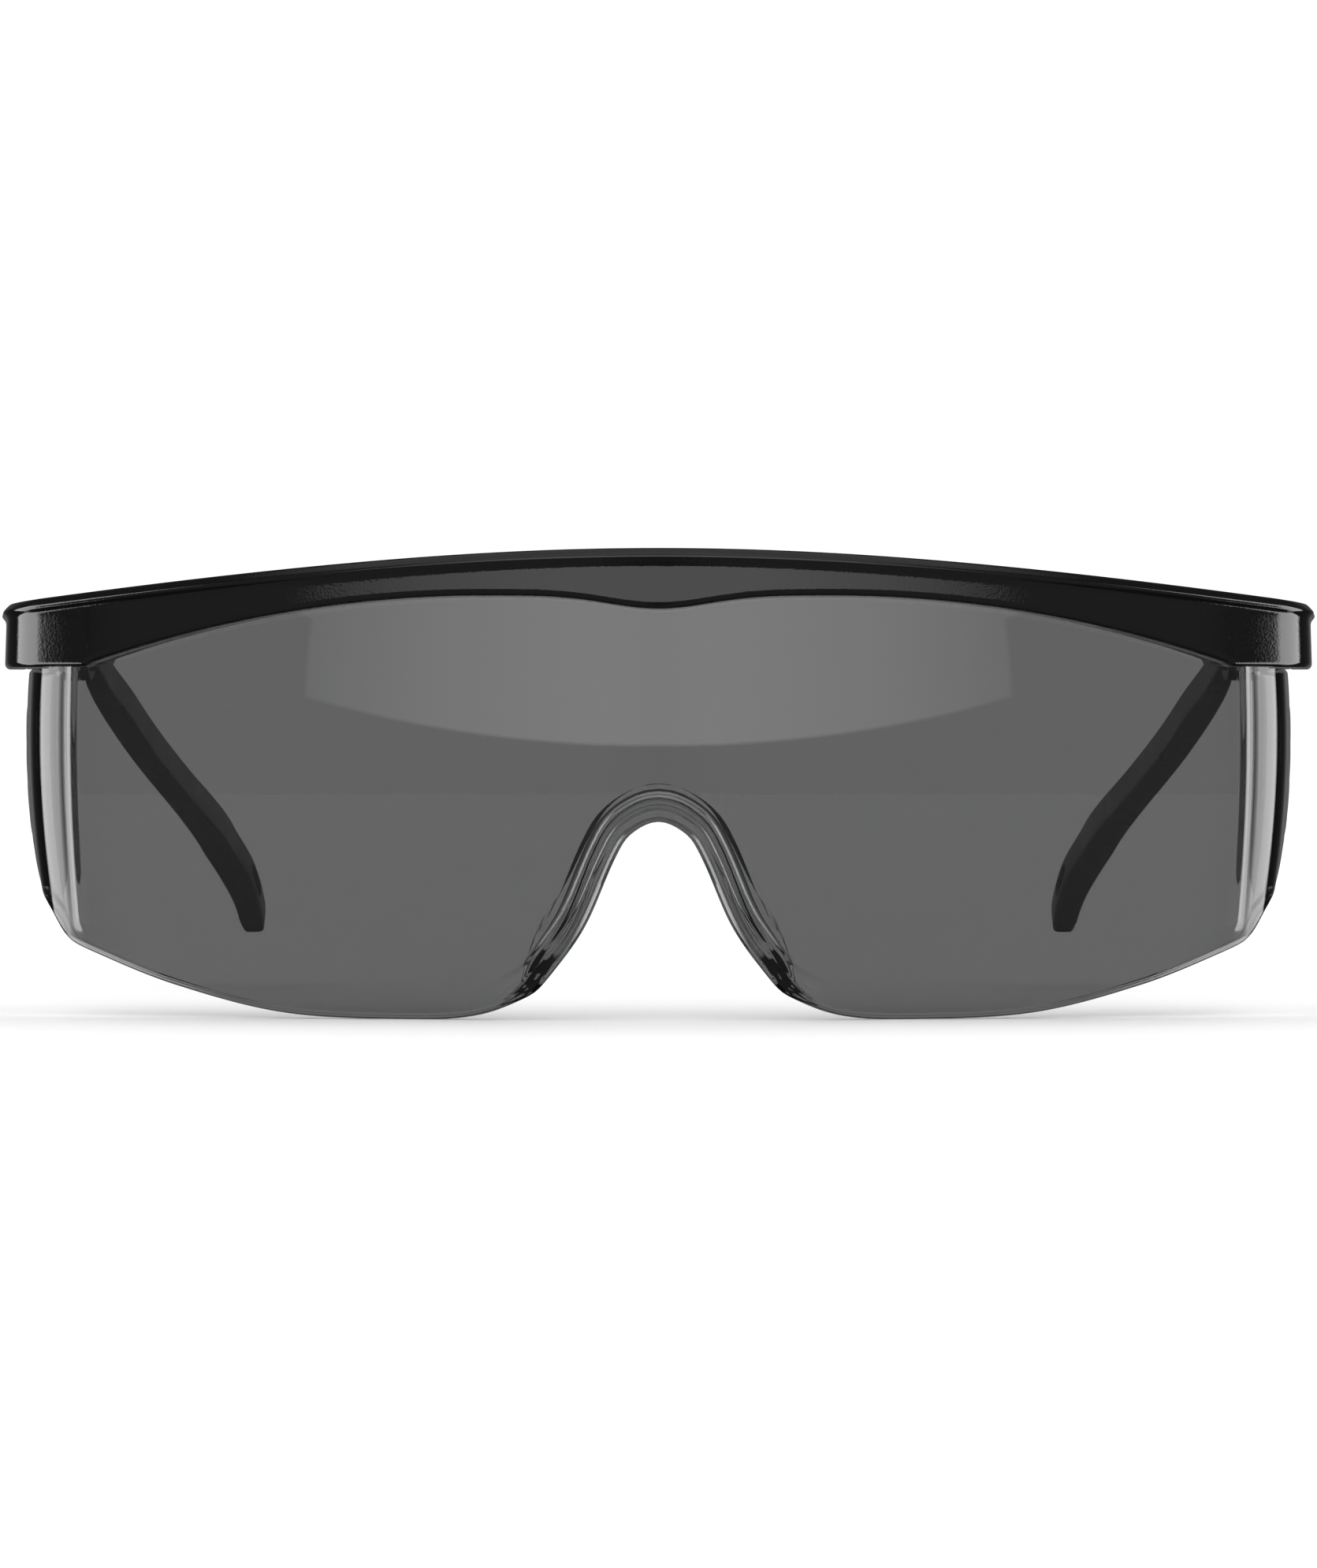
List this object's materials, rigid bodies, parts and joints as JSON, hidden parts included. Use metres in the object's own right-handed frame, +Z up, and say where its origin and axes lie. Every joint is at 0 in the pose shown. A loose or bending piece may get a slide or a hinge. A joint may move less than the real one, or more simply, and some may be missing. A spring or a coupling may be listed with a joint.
{
  "type": "safety glasses",
  "caption": "Wrap-around safety glasses: one-piece lens with side shields and nose saddle, brow bar, folding temples on a tilting ratchet.",
  "frame": {"origin": "under the middle of the glasses, level with the lowest edge of the lens", "axes": "+X towards the wearer's left, +Y back along the open temples, +Z up as worn"},
  "size_m": [0.1532, 0.1553, 0.0529],
  "materials": {
    "lens_polycarbonate": "clear light-grey polycarbonate, hard-coated and polished",
    "brow_nylon": "black nylon, satin gloss with a fine moulded texture",
    "temple_nylon": "black flexible nylon, satin gloss",
    "hinge_steel": "bright stainless steel",
    "nut_brass": "turned brass"
  },
  "bodies": {
    "front": {"brow_bar": "brow_nylon", "lens": "lens_polycarbonate", "left_hinge_pin": "hinge_steel", "right_hinge_pin": "hinge_steel"},
    "left_link": {"left_hinge_link": "temple_nylon", "left_tilt_screw": "hinge_steel", "left_spring_washer": "hinge_steel", "left_tilt_nut": "nut_brass"},
    "left_arm": {"left_temple": "temple_nylon"},
    "right_link": {"right_hinge_link": "temple_nylon", "right_tilt_screw": "hinge_steel", "right_spring_washer": "hinge_steel", "right_tilt_nut": "nut_brass"},
    "right_arm": {"right_temple": "temple_nylon"}
  },
  "joints": [
    {"name": "left_fold", "type": "hinge", "parent": "front", "child": "left_link", "pos_m": [0.0692, -0.0437, 0.044], "axis": [0, 0, 1], "range_deg": [0, 90]},
    {"name": "left_tilt", "type": "hinge", "parent": "left_link", "child": "left_arm", "pos_m": [0.06839, -0.03524, 0.0419], "axis": [0.9955, 0.0952, 0], "range_deg": [-10, 10]},
    {"name": "right_fold", "type": "hinge", "parent": "front", "child": "right_link", "pos_m": [-0.0692, -0.0437, 0.044], "axis": [0, 0, -1], "range_deg": [0, 82]},
    {"name": "right_tilt", "type": "hinge", "parent": "right_link", "child": "right_arm", "pos_m": [-0.06839, -0.03524, 0.0419], "axis": [0.9955, -0.0952, 0], "range_deg": [-10, 10]}
  ]
}
